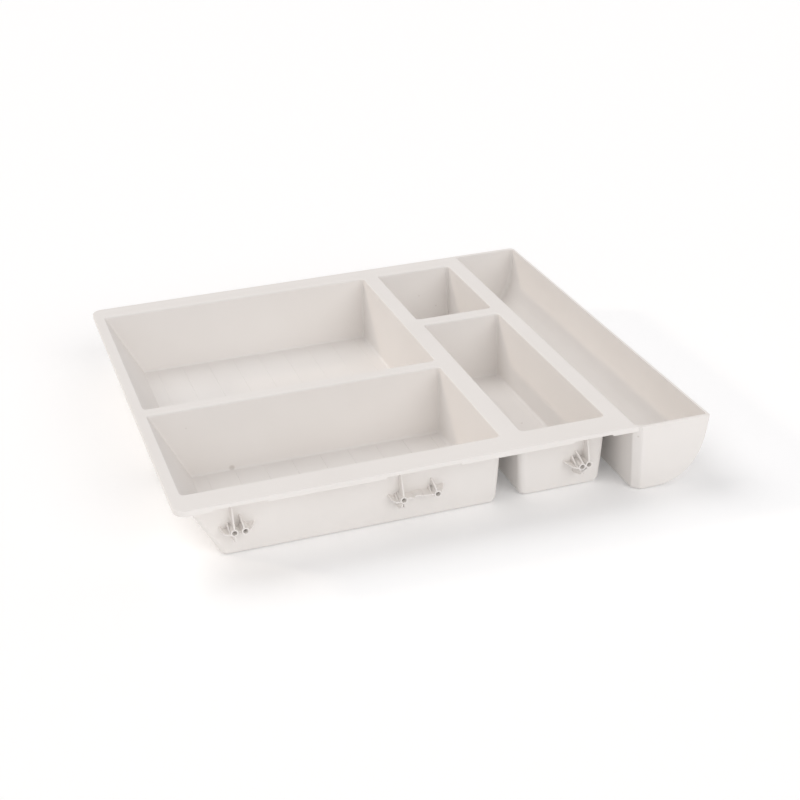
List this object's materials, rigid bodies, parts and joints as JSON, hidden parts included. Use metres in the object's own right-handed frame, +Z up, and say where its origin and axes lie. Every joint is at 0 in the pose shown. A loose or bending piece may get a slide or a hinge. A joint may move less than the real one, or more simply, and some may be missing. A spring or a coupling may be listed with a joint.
{
  "type": "drawer organizer insert",
  "caption": "Shallow rectangular plastic drawer tray with deep wells, a rounded pen trough along one side and ribbed screw bosses on its walls.",
  "frame": {"origin": "under the middle of the whole tray, on the surface it stands on", "axes": "+X across the wells towards the pen trough, +Y away from the edge with the visible slide bosses, +Z up"},
  "size_m": [0.394, 0.3788, 0.056],
  "materials": {
    "tray_plastic": "matte"
  },
  "bodies": {
    "root": {"deck_flange": "tray_plastic", "edge_skirt": "tray_plastic", "large_back_well": "tray_plastic", "large_front_well": "tray_plastic", "medium_front_well": "tray_plastic", "small_back_well": "tray_plastic", "trough_shell": "tray_plastic", "trough_front_end": "tray_plastic", "trough_back_end": "tray_plastic", "front_slide_bosses_left": "tray_plastic", "front_slide_bosses_middle": "tray_plastic", "front_slide_bosses_right": "tray_plastic", "back_slide_bosses_left": "tray_plastic", "back_slide_bosses_middle": "tray_plastic", "back_slide_bosses_right": "tray_plastic"}
  },
  "joints": []
}
